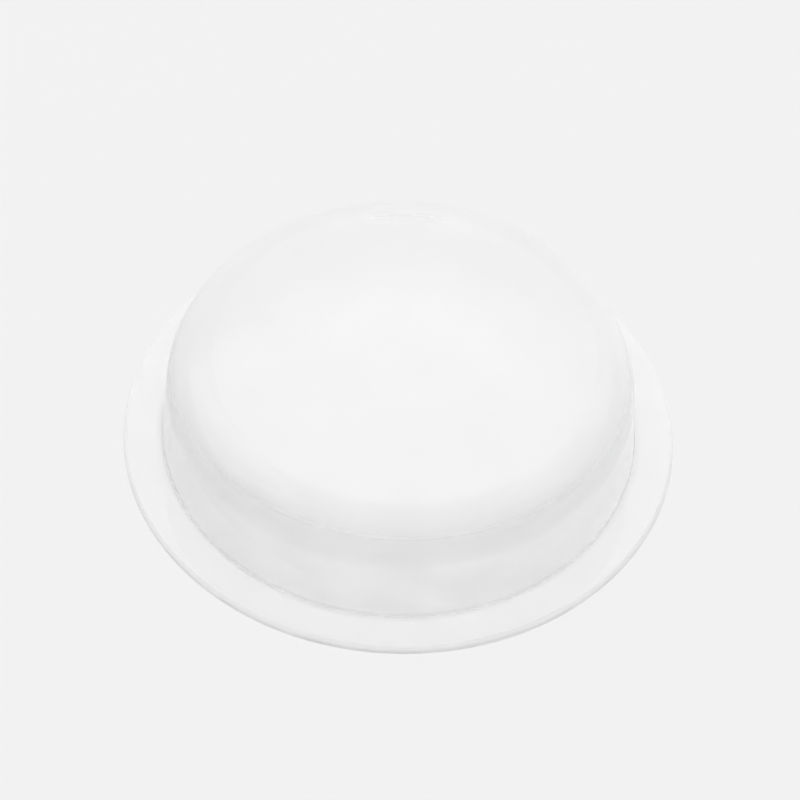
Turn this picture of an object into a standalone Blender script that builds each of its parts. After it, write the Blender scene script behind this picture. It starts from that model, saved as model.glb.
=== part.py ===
"""A clear self-adhesive bumper foot for a cabinet door or a drawer front.

The foot is cast in clear polyurethane as one low, round piece. A die then cuts it out of the thin web
that joins it to its neighbours, together with the adhesive laminated below, and leaves a lip of web and
adhesive round the wall.

The foot lies as it is stuck down: adhesive underneath at z = 0, contact face on top, its axis on Z.
Lengths are in metres and angles in radians.
"""

from math import cos, pi, radians, sin, tan

import bmesh
import bpy

# Moulded foot
FOOT_DIAMETER = 0.0127  # across the wall, where it meets the lip
FOOT_HEIGHT = 0.0035  # from the underside of the adhesive to the contact face
WALL_DRAFT = radians(1.5)  # lets the foot leave its mould
SHOULDER_RADIUS = 0.0014  # rounds the wall into the contact face
ROOT_RADIUS = 0.0002  # rounds the wall into the lip

# Lip round the wall
LIP_REACH = 0.00105  # from the wall to the cut edge, at the underside of the adhesive
WEB_THICKNESS = 0.00015
CUT_SLANT = radians(15)  # the die's flank, which leans the cut edge inwards as it rises

# Adhesive
ADHESIVE_THICKNESS = 0.0001

# Facets
TURN_STEPS = 96
SHOULDER_STEPS = 10
ROOT_STEPS = 4
SHARP_ANGLE = radians(35)
SAME_POINT = 1e-7

# Places that follow from the sizes
WALL_RADIUS = FOOT_DIAMETER / 2
LIP_TOP = ADHESIVE_THICKNESS + WEB_THICKNESS

POLYURETHANE_COLOUR = (0.93, 0.94, 0.93, 1)
ADHESIVE_COLOUR = (0.90, 0.91, 0.88, 1)
POLYURETHANE_ROUGHNESS = 0.08
ADHESIVE_ROUGHNESS = 0.35
POLYURETHANE_IOR = 1.49
ADHESIVE_IOR = 1.47


def clear_scene():
    for thing in list(bpy.data.objects):
        bpy.data.objects.remove(thing)


def clear_material(name, colour, roughness, ior):
    """A see-through material, as both of the foot's are."""
    material = bpy.data.materials.new(name)
    material.use_nodes = True
    shader = material.node_tree.nodes["Principled BSDF"]
    shader.inputs["Base Color"].default_value = colour
    shader.inputs["Metallic"].default_value = 0
    shader.inputs["Roughness"].default_value = roughness
    shader.inputs["IOR"].default_value = ior
    shader.inputs["Transmission Weight"].default_value = 1
    return material


def arc(centre, radius, start, end, steps):
    """Points of an arc in the section, from the start angle to the end angle, both included."""
    turn = (end - start) / steps
    angles = [start + turn * step for step in range(steps + 1)]
    return [(centre[0] + radius * cos(angle), centre[1] + radius * sin(angle)) for angle in angles]


def radius_off_wall(height, offset):
    """How far from the axis a point at this height is, if it stands off the drafted wall by offset."""
    rise = height - LIP_TOP
    return WALL_RADIUS + (offset - rise * sin(WALL_DRAFT)) / cos(WALL_DRAFT)


def cut_radius(height):
    """Radius of the slanted edge that the die leaves on the web and the adhesive."""
    return WALL_RADIUS + LIP_REACH - height * tan(CUT_SLANT)


def foot_section():
    """Half of the foot's section, as (radius, height) from the top of the axis down its outer side."""
    shoulder_height = FOOT_HEIGHT - SHOULDER_RADIUS
    shoulder_centre = (radius_off_wall(shoulder_height, -SHOULDER_RADIUS), shoulder_height)
    root_height = LIP_TOP + ROOT_RADIUS
    root_centre = (radius_off_wall(root_height, ROOT_RADIUS), root_height)
    return [
        (0, FOOT_HEIGHT),
        *arc(shoulder_centre, SHOULDER_RADIUS, pi / 2, WALL_DRAFT, SHOULDER_STEPS),
        *arc(root_centre, ROOT_RADIUS, pi + WALL_DRAFT, 3 * pi / 2, ROOT_STEPS),
        (cut_radius(LIP_TOP), LIP_TOP),
        (cut_radius(ADHESIVE_THICKNESS), ADHESIVE_THICKNESS),
        (0, ADHESIVE_THICKNESS),
    ]


def adhesive_section():
    """Half of the adhesive's section. Its upper face is the foot's lower one."""
    return [
        (0, ADHESIVE_THICKNESS),
        (cut_radius(ADHESIVE_THICKNESS), ADHESIVE_THICKNESS),
        (cut_radius(0), 0),
        (0, 0),
    ]


def turned(name, section, material):
    """A solid made by turning half a section round the Z axis."""
    shape = bmesh.new()
    points = [shape.verts.new((radius, 0, height)) for radius, height in section]
    edges = [shape.edges.new(pair) for pair in zip(points, points[1:])]
    bmesh.ops.spin(
        shape,
        geom=points + edges,
        cent=(0, 0, 0),
        axis=(0, 0, 1),
        angle=2 * pi,
        steps=TURN_STEPS,
        use_merge=True,
    )
    bmesh.ops.remove_doubles(shape, verts=shape.verts, dist=SAME_POINT)
    bmesh.ops.recalc_face_normals(shape, faces=shape.faces)
    mesh = bpy.data.meshes.new(name)
    shape.to_mesh(mesh)
    shape.free()
    mesh.shade_smooth()
    mesh.set_sharp_from_angle(angle=SHARP_ANGLE)
    mesh.materials.append(material)
    solid = bpy.data.objects.new(name, mesh)
    bpy.context.collection.objects.link(solid)
    return solid


def moulded_foot():
    polyurethane = clear_material(
        "clear_polyurethane", POLYURETHANE_COLOUR, POLYURETHANE_ROUGHNESS, POLYURETHANE_IOR
    )
    return turned("moulded_foot", foot_section(), polyurethane)


def adhesive_layer():
    adhesive = clear_material("clear_adhesive", ADHESIVE_COLOUR, ADHESIVE_ROUGHNESS, ADHESIVE_IOR)
    return turned("adhesive_layer", adhesive_section(), adhesive)


clear_scene()
moulded_foot()
adhesive_layer()
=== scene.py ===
"""Looks of a clear self-adhesive bumper foot, as it lies on a pale surface before it is stuck to a door."""

from math import cos, pi, radians, sin, tan

import bpy
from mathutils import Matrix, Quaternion, Vector


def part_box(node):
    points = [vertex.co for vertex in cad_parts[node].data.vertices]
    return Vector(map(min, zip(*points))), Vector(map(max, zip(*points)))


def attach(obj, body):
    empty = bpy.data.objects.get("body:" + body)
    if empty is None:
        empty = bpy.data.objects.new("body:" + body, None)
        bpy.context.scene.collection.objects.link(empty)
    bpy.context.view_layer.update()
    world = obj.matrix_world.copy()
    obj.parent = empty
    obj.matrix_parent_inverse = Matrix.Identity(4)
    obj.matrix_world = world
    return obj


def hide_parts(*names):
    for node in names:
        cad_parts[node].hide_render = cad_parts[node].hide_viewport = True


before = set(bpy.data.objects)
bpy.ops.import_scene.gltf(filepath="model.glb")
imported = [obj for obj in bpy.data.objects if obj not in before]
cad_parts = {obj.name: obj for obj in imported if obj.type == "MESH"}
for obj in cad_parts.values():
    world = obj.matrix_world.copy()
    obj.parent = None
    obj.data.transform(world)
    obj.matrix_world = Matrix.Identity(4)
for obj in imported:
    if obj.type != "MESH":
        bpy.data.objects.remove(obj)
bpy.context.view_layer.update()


# Moulded foot
# One piece of clear polyurethane, cast in an open mould: flat contact face, round shoulder, slightly
# drafted wall, and a thin web at its base. A die cuts through the web and leaves a lip round the wall.
MM = 0.001
FOOT_LOW, FOOT_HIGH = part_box("moulded_foot")
WEB_THICKNESS = 0.15 * MM
WEB_BOTTOM = FOOT_LOW.z
WEB_TOP = WEB_BOTTOM + WEB_THICKNESS
CONTACT_HEIGHT = FOOT_HIGH.z
WALL_RADIUS = 6.35 * MM
WALL_DRAFT = radians(1.5)
CONTACT_CORNER_RADIUS = WALL_RADIUS - (CONTACT_HEIGHT - WEB_TOP) * tan(WALL_DRAFT)
SHOULDER_ROUNDING = 1.4 * MM
ROOT_ROUNDING = 0.2 * MM
CUT_SLANT = radians(15)
CUT_ROUNDING = 0.05 * MM
CUT_RADIUS = FOOT_HIGH.x
LIP_RADIUS = CUT_RADIUS - WEB_THICKNESS * tan(CUT_SLANT)

TURN_STEPS = 384
ARC_STEPS = 16
LONGEST_STEP = 0.25 * MM
SAME_POINT = 0.001 * MM
SHARP_ANGLE = radians(40)
FLAT = 0.9  # a face is level where its normal's Z is beyond this, up or down
CUT_EDGE_FROM = (WALL_RADIUS + LIP_RADIUS) / 2  # a steep face further out than this is where the die cut
CORNER_SIZES = ("radius", "height", "rounding")

POLYURETHANE_COLOUR = "#FEFEFE"
POLYURETHANE_IOR = 1.49
POLISH_GRAIN = 2 * MM
WAVE_LENGTH = 2.5 * MM
WAVE_HEIGHT = 0.007 * MM
NOISE_LOW, NOISE_HIGH = 0.3, 0.7  # most of a noise texture's values lie between these


def linear(hex_colour):
    """An sRGB hex colour as linear red, green, blue and alpha."""
    parts = [int(hex_colour[place:place + 2], 16) / 255 for place in (1, 3, 5)]
    return (*[part / 12.92 if part <= 0.04045 else ((part + 0.055) / 1.055) ** 2.4 for part in parts], 1)


def add_node(tree, kind, settings=None, inputs=None):
    """A new node with its settings. Each input takes a value, or a link from another node's output."""
    node = tree.nodes.new(kind)
    for name, value in (settings or {}).items():
        setattr(node, name, value)
    for name, value in (inputs or {}).items():
        if isinstance(value, bpy.types.NodeSocket):
            tree.links.new(value, node.inputs[name])
        else:
            node.inputs[name].default_value = value
    return node


def rounded_section(tree, given, corners):
    """A line through the section's corners, with the rounding that each of them has."""
    index = add_node(tree, "GeometryNodeInputIndex").outputs["Index"]
    place = add_node(tree, "GeometryNodeIndexSwitch", {"data_type": "VECTOR"}, {"Index": index})
    rounding = add_node(tree, "GeometryNodeIndexSwitch", {"data_type": "FLOAT"}, {"Index": index})
    for switch in (place, rounding):
        while len(switch.index_switch_items) < len(corners):
            switch.index_switch_items.new()
    for number, corner in enumerate(corners):
        point = add_node(
            tree, "ShaderNodeCombineXYZ",
            inputs={"X": given[f"{corner} radius"], "Z": given[f"{corner} height"]},
        )
        tree.links.new(point.outputs["Vector"], place.inputs[str(number)])
        tree.links.new(given[f"{corner} rounding"], rounding.inputs[str(number)])
    points = add_node(tree, "GeometryNodeMeshLine", inputs={"Count": len(corners)})
    line = add_node(
        tree, "GeometryNodeSetPosition",
        inputs={"Geometry": points.outputs["Mesh"], "Position": place.outputs["Output"]},
    )
    curve = add_node(tree, "GeometryNodeMeshToCurve", inputs={"Mesh": line.outputs["Geometry"]})
    rounded = add_node(
        tree, "GeometryNodeFilletCurve", {"mode": "POLY"},
        {"Curve": curve.outputs["Curve"], "Radius": rounding.outputs["Output"], "Count": ARC_STEPS},
    )
    return rounded.outputs["Curve"]


def finely_divided(tree, section):
    """The section with more points on its straight runs, none further from the next than LONGEST_STEP."""
    index = add_node(tree, "GeometryNodeInputIndex").outputs["Index"]
    here = add_node(tree, "GeometryNodeInputPosition").outputs["Position"]
    following = add_node(tree, "GeometryNodeOffsetPointInCurve", inputs={"Point Index": index, "Offset": 1})
    there = add_node(
        tree, "GeometryNodeFieldAtIndex", {"data_type": "FLOAT_VECTOR"},
        {"Index": following.outputs["Point Index"], "Value": here},
    )
    gap = add_node(
        tree, "ShaderNodeVectorMath", {"operation": "DISTANCE"}, {0: here, 1: there.outputs["Value"]}
    )
    steps = add_node(
        tree, "ShaderNodeMath", {"operation": "DIVIDE"}, {0: gap.outputs["Value"], 1: LONGEST_STEP}
    )
    cuts = add_node(
        tree, "FunctionNodeFloatToInt", {"rounding_mode": "FLOOR"}, {"Float": steps.outputs["Value"]}
    )
    divided = add_node(
        tree, "GeometryNodeSubdivideCurve", inputs={"Curve": section, "Cuts": cuts.outputs["Integer"]}
    )
    return divided.outputs["Curve"]


def swept_round(tree, section):
    """The closed surface that the section leaves on its way round the Z axis. It is a grid with a row for
    each point of the section, rolled up and merged where it meets itself."""
    rows = add_node(tree, "GeometryNodeAttributeDomainSize", {"component": "CURVE"}, {"Geometry": section})
    columns = TURN_STEPS + 1
    grid = add_node(
        tree, "GeometryNodeMeshGrid",
        inputs={"Vertices X": rows.outputs["Point Count"], "Vertices Y": columns},
    )
    index = add_node(tree, "GeometryNodeInputIndex").outputs["Index"]
    row = add_node(tree, "FunctionNodeIntegerMath", {"operation": "DIVIDE_FLOOR"}, {0: index, 1: columns})
    column = add_node(tree, "FunctionNodeIntegerMath", {"operation": "MODULO"}, {0: index, 1: columns})
    here = add_node(tree, "GeometryNodeInputPosition").outputs["Position"]
    point = add_node(
        tree, "GeometryNodeSampleIndex", {"data_type": "FLOAT_VECTOR"},
        {"Geometry": section, "Value": here, "Index": row.outputs["Value"]},
    )
    angle = add_node(
        tree, "ShaderNodeMath", {"operation": "MULTIPLY"},
        {0: column.outputs["Value"], 1: 2 * pi / TURN_STEPS},
    )
    turned = add_node(
        tree, "ShaderNodeVectorRotate", {"rotation_type": "Z_AXIS"},
        {"Vector": point.outputs["Value"], "Angle": angle.outputs["Value"]},
    )
    rolled_up = add_node(
        tree, "GeometryNodeSetPosition",
        inputs={"Geometry": grid.outputs["Mesh"], "Position": turned.outputs["Vector"]},
    )
    closed = add_node(
        tree, "GeometryNodeMergeByDistance",
        inputs={"Geometry": rolled_up.outputs["Geometry"], "Distance": SAME_POINT},
    )
    return closed.outputs["Geometry"]


def finished(tree, solid, given):
    """The solid with its three materials: level faces that look down are the underside, and steep faces
    outside the wall are the cut edge."""
    facing = add_node(tree, "GeometryNodeInputNormal").outputs["Normal"]
    upwards = add_node(tree, "ShaderNodeSeparateXYZ", inputs={"Vector": facing}).outputs["Z"]
    is_under = add_node(
        tree, "FunctionNodeCompare", {"operation": "LESS_THAN"}, {"A": upwards, "B": -FLAT}
    )
    slope = add_node(tree, "ShaderNodeMath", {"operation": "ABSOLUTE"}, {0: upwards})
    is_steep = add_node(
        tree, "FunctionNodeCompare", {"operation": "LESS_THAN"}, {"A": slope.outputs["Value"], "B": FLAT}
    )
    here = add_node(tree, "GeometryNodeInputPosition").outputs["Position"]
    across = add_node(tree, "ShaderNodeVectorMath", {"operation": "MULTIPLY"}, {0: here, 1: (1, 1, 0)})
    reach = add_node(tree, "ShaderNodeVectorMath", {"operation": "LENGTH"}, {0: across.outputs["Vector"]})
    is_far = add_node(
        tree, "FunctionNodeCompare", {"operation": "GREATER_THAN"},
        {"A": reach.outputs["Value"], "B": given["cut edge from"]},
    )
    is_cut = add_node(
        tree, "FunctionNodeBooleanMath", {"operation": "AND"},
        {0: is_steep.outputs["Result"], 1: is_far.outputs["Result"]},
    )
    where = {
        "surface": True,
        "underside": is_under.outputs["Result"],
        "cut edge": is_cut.outputs["Boolean"],
    }
    solid = add_node(tree, "GeometryNodeRealizeInstances", inputs={"Geometry": solid}).outputs["Geometry"]
    for finish, faces in where.items():
        solid = add_node(
            tree, "GeometryNodeSetMaterial",
            inputs={"Geometry": solid, "Selection": faces, "Material": given[finish]},
        ).outputs["Geometry"]
    return solid


def turning_tree(name, corners):
    """Geometry Nodes that turn a section round the Z axis. The section runs from the axis at the top down its
    outer side to the axis at the base, and each corner has a named radius, height and rounding."""
    tree = bpy.data.node_groups.new(name, "GeometryNodeTree")
    tree.interface.new_socket("Solid", in_out="OUTPUT", socket_type="NodeSocketGeometry")
    for corner in corners:
        for size in CORNER_SIZES:
            tree.interface.new_socket(f"{corner} {size}", in_out="INPUT", socket_type="NodeSocketFloat")
    tree.interface.new_socket("cut edge from", in_out="INPUT", socket_type="NodeSocketFloat")
    for finish in ("surface", "underside", "cut edge"):
        tree.interface.new_socket(finish, in_out="INPUT", socket_type="NodeSocketMaterial")
    given = add_node(tree, "NodeGroupInput").outputs
    section = finely_divided(tree, rounded_section(tree, given, corners))
    solid = finished(tree, swept_round(tree, section), given)
    add_node(tree, "NodeGroupOutput", inputs={"Solid": solid})
    return tree


def turned_piece(name, section, surface, underside, cut_edge):
    """A smooth solid turned from a section: a radius, a height and a rounding for each named corner. Its flat
    underside and its outer edge have materials of their own."""
    given = {
        f"{corner} {size}": value
        for corner, values in section.items()
        for size, value in zip(CORNER_SIZES, values)
    }
    given.update({
        "cut edge from": CUT_EDGE_FROM, "surface": surface, "underside": underside, "cut edge": cut_edge,
    })
    tree = turning_tree(f"turning the {name}", section)
    maker = bpy.data.objects.new(f"{name}_maker", bpy.data.meshes.new(f"{name}_maker"))
    bpy.context.collection.objects.link(maker)
    modifier = maker.modifiers.new("turning", "NODES")
    modifier.node_group = tree
    for socket in tree.interface.items_tree:
        if socket.in_out == "INPUT":
            modifier[socket.identifier] = given[socket.name]
    made = maker.evaluated_get(bpy.context.evaluated_depsgraph_get())
    mesh = bpy.data.meshes.new_from_object(made)
    bpy.data.objects.remove(maker)
    mesh.name = name
    mesh.shade_smooth()
    mesh.set_sharp_from_angle(angle=SHARP_ANGLE)
    piece = bpy.data.objects.new(name, mesh)
    bpy.context.collection.objects.link(piece)
    return piece


def empty_material(name):
    material = bpy.data.materials.new(name)
    material.use_nodes = True
    material.node_tree.nodes.clear()
    return material


def seen_and_shone_through(tree, glass):
    """The glass shader as the eye meets it. Light on its way to the floor goes straight on through it,
    because few of its bent paths are found, and the floor under a clear foot would come out too dark."""
    path = add_node(tree, "ShaderNodeLightPath").outputs
    clear = add_node(tree, "ShaderNodeBsdfTransparent").outputs["BSDF"]
    for to_floor in ("Is Diffuse Ray", "Is Shadow Ray"):
        glass = add_node(
            tree, "ShaderNodeMixShader", inputs={0: path[to_floor], 1: glass, 2: clear}
        ).outputs["Shader"]
    add_node(tree, "ShaderNodeOutputMaterial", inputs={"Surface": glass})


def unevenness(tree, grain, detail):
    """How uneven the piece's surface is from place to place, in patches about as large as the grain."""
    place = add_node(tree, "ShaderNodeTexCoord").outputs["Object"]
    patches = add_node(
        tree, "ShaderNodeTexNoise", inputs={"Vector": place, "Scale": 1 / grain, "Detail": detail}
    )
    return patches.outputs["Fac"]


def patchy_polish(tree, uneven, smoothest, roughest):
    """Roughness that goes from smoothest to roughest as the surface gets more uneven."""
    roughness = add_node(
        tree, "ShaderNodeMapRange",
        inputs={
            "Value": uneven, "From Min": NOISE_LOW, "From Max": NOISE_HIGH,
            "To Min": smoothest, "To Max": roughest,
        },
    )
    return roughness.outputs["Result"]


def cast_polyurethane():
    """Clear cast polyurethane elastomer. The open mould gives it a glossy skin, with a slow, shallow waviness
    that bends the lines seen through it, and polish that comes and goes a little."""
    material = empty_material("clear cast polyurethane")
    tree = material.node_tree
    polish = patchy_polish(tree, unevenness(tree, POLISH_GRAIN, detail=1), smoothest=0.04, roughest=0.1)
    waves = unevenness(tree, WAVE_LENGTH, detail=1)
    wavy = add_node(
        tree, "ShaderNodeBump", inputs={"Height": waves, "Strength": 1, "Distance": WAVE_HEIGHT}
    )
    glass = add_node(
        tree, "ShaderNodeBsdfPrincipled",
        inputs={
            "Base Color": linear(POLYURETHANE_COLOUR), "Roughness": polish, "Normal": wavy.outputs["Normal"],
            "IOR": POLYURETHANE_IOR, "Transmission Weight": 1,
        },
    )
    seen_and_shone_through(tree, glass.outputs["BSDF"])
    return material


def hazy_polyurethane(name, grain, smoothest, roughest, clear):
    """The same polyurethane with a haze that is stronger in patches about as large as the grain. What isn't
    clear is scattered, as by frosting."""
    material = empty_material(name)
    tree = material.node_tree
    haze = patchy_polish(tree, unevenness(tree, grain, detail=2), smoothest, roughest)
    glass = add_node(
        tree, "ShaderNodeBsdfPrincipled",
        inputs={
            "Base Color": linear(POLYURETHANE_COLOUR), "Roughness": haze, "IOR": POLYURETHANE_IOR,
            "Transmission Weight": clear,
        },
    )
    seen_and_shone_through(tree, glass.outputs["BSDF"])
    return material


# Adhesive wets the underside unevenly, which softens what the wall and the shoulder show of it. The die
# leaves its cut frosted.
BONDED_POLYURETHANE = hazy_polyurethane(
    "bonded face of cast polyurethane", grain=1.6 * MM, smoothest=0.45, roughest=0.6, clear=0.95
)
CUT_POLYURETHANE = hazy_polyurethane(
    "die-cut edge of cast polyurethane", grain=0.3 * MM, smoothest=0.4, roughest=0.55, clear=0.4
)
moulded_foot = turned_piece(
    "moulded_foot_skin",
    {
        "contact face centre": (0, CONTACT_HEIGHT, 0),
        "shoulder": (CONTACT_CORNER_RADIUS, CONTACT_HEIGHT, SHOULDER_ROUNDING),
        "root": (WALL_RADIUS, WEB_TOP, ROOT_ROUNDING),
        "lip": (LIP_RADIUS, WEB_TOP, CUT_ROUNDING),
        "cut": (CUT_RADIUS, WEB_BOTTOM, 0),
        "web centre": (0, WEB_BOTTOM, 0),
    },
    surface=cast_polyurethane(),
    underside=BONDED_POLYURETHANE,
    cut_edge=CUT_POLYURETHANE,
)
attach(moulded_foot, "root")
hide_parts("moulded_foot")


# Adhesive layer
# Clear acrylic pressure-sensitive adhesive, laminated to the underside of the web and cut with it by the
# same die, so its slanted edge carries on from the web's. It is soft and tacky.
ADHESIVE_LOW, ADHESIVE_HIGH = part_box("adhesive_layer")
HAIR_GAP = 0.003 * MM  # keeps the two clear solids from sharing a face, where neither would be seen right
ADHESIVE_COLOUR = "#FEFEFE"
ADHESIVE_IOR = 1.47
RIPPLE_LENGTH = 0.8 * MM
RIPPLE_HEIGHT = 0.004 * MM


def clear_adhesive(name, smoothest, roughest, clear):
    """Clear acrylic adhesive. It is soft, so its surface is never quite flat, and it is a little hazy."""
    material = empty_material(name)
    tree = material.node_tree
    ripple = unevenness(tree, RIPPLE_LENGTH, detail=2)
    haze = patchy_polish(tree, ripple, smoothest, roughest)
    rippled = add_node(
        tree, "ShaderNodeBump", inputs={"Height": ripple, "Strength": 1, "Distance": RIPPLE_HEIGHT}
    )
    glass = add_node(
        tree, "ShaderNodeBsdfPrincipled",
        inputs={
            "Base Color": linear(ADHESIVE_COLOUR), "Roughness": haze, "Normal": rippled.outputs["Normal"],
            "IOR": ADHESIVE_IOR, "Transmission Weight": clear,
        },
    )
    seen_and_shone_through(tree, glass.outputs["BSDF"])
    return material


adhesive_layer = turned_piece(
    "adhesive_layer_skin",
    {
        "web side centre": (0, ADHESIVE_HIGH.z - HAIR_GAP, 0),
        "web side edge": (CUT_RADIUS, ADHESIVE_HIGH.z - HAIR_GAP, 0),
        "tacky side edge": (ADHESIVE_HIGH.x, ADHESIVE_LOW.z, 0),
        "tacky side centre": (0, ADHESIVE_LOW.z, 0),
    },
    surface=clear_adhesive("clear acrylic adhesive", smoothest=0.08, roughest=0.16, clear=1),
    underside=clear_adhesive("tacky face of acrylic adhesive", smoothest=0.14, roughest=0.25, clear=1),
    cut_edge=clear_adhesive("die-cut edge of acrylic adhesive", smoothest=0.4, roughest=0.5, clear=0.4),
)
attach(adhesive_layer, "root")
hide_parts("adhesive_layer")


# Floor and surroundings
# A plain pale surface, which the foot lies on, in a pale room that is dimmer to the left and right.
FLOOR_COLOUR = linear("#F1F1F1")
FLOOR_REACH = 1.5
FLOOR_HEIGHT = -0.02 * MM  # the adhesive only touches here and there, so it doesn't wet the floor
ROOM_LIGHT = 0.92
LOST_TO_THE_SIDES = 0.3


def floor():
    square = ((-1, -1), (1, -1), (1, 1), (-1, 1))
    corners = [(x * FLOOR_REACH, y * FLOOR_REACH, FLOOR_HEIGHT) for x, y in square]
    mesh = bpy.data.meshes.new("floor")
    mesh.from_pydata(corners, [], [range(len(corners))])
    material = empty_material("pale matt board")
    tree = material.node_tree
    shader = add_node(tree, "ShaderNodeBsdfDiffuse", inputs={"Color": FLOOR_COLOUR})
    add_node(tree, "ShaderNodeOutputMaterial", inputs={"Surface": shader.outputs["BSDF"]})
    mesh.materials.append(material)
    surface = bpy.data.objects.new("floor", mesh)
    bpy.context.collection.objects.link(surface)


def room():
    world = bpy.data.worlds.new("pale room")
    world.use_nodes = True
    tree = world.node_tree
    tree.nodes.clear()
    way = add_node(tree, "ShaderNodeTexCoord").outputs["Generated"]
    sideways = add_node(tree, "ShaderNodeSeparateXYZ", inputs={"Vector": way}).outputs["X"]
    squared = add_node(tree, "ShaderNodeMath", {"operation": "MULTIPLY"}, {0: sideways, 1: sideways})
    level = add_node(
        tree, "ShaderNodeMath", {"operation": "MULTIPLY_ADD"},
        {0: squared.outputs["Value"], 1: -LOST_TO_THE_SIDES, 2: ROOM_LIGHT},
    )
    light = add_node(
        tree, "ShaderNodeBackground", inputs={"Color": (1, 1, 1, 1), "Strength": level.outputs["Value"]}
    )
    add_node(tree, "ShaderNodeOutputWorld", inputs={"Surface": light.outputs["Background"]})
    bpy.context.scene.world = world


floor()
room()


# Lamps
# Two large soft boxes stand to the left and right, a little behind the foot, and light its shoulder. A
# smaller one stands behind it, where the contact face mirrors it towards the camera.
LAMP_DISTANCE = 1.0


def towards(azimuth, elevation):
    """A unit vector from the foot. Azimuth 0 is away from the camera, and grows to the right."""
    return Vector((sin(azimuth) * cos(elevation), cos(azimuth) * cos(elevation), sin(elevation)))


def soft_box(name, azimuth, elevation, side, watts):
    lamp = bpy.data.lights.new(name, "AREA")
    lamp.shape = "SQUARE"
    lamp.size = side
    lamp.energy = watts
    box = bpy.data.objects.new(name, lamp)
    away = towards(azimuth, elevation)
    box.location = away * LAMP_DISTANCE
    box.rotation_euler = away.to_track_quat("Z", "Y").to_euler()
    bpy.context.collection.objects.link(box)


soft_box("right_soft_box", azimuth=radians(70), elevation=radians(45), side=0.9, watts=0.9)
soft_box("left_soft_box", azimuth=radians(-75), elevation=radians(45), side=0.9, watts=1.4)
soft_box("back_soft_box", azimuth=radians(8), elevation=radians(50), side=0.6, watts=0.5)


# Camera
# It looks down at the photograph's angle from far away, with the photograph's slight roll.
CAMERA_ELEVATION = radians(50)
CAMERA_ROLL = radians(2.5)
CAMERA_DISTANCE = 0.75
FRAME_WIDTH = 21.5 * MM

lens = bpy.data.cameras.new("camera")
lens.lens = lens.sensor_width * CAMERA_DISTANCE / FRAME_WIDTH
camera = bpy.data.objects.new("camera", lens)
away = towards(pi, CAMERA_ELEVATION)
camera.location = away * CAMERA_DISTANCE + Vector((0, 0, CONTACT_HEIGHT / 2))
camera.rotation_euler = (away.to_track_quat("Z", "Y") @ Quaternion((0, 0, 1), CAMERA_ROLL)).to_euler()
bpy.context.collection.objects.link(camera)
bpy.context.scene.camera = camera
bpy.context.scene.view_settings.view_transform = "Standard"
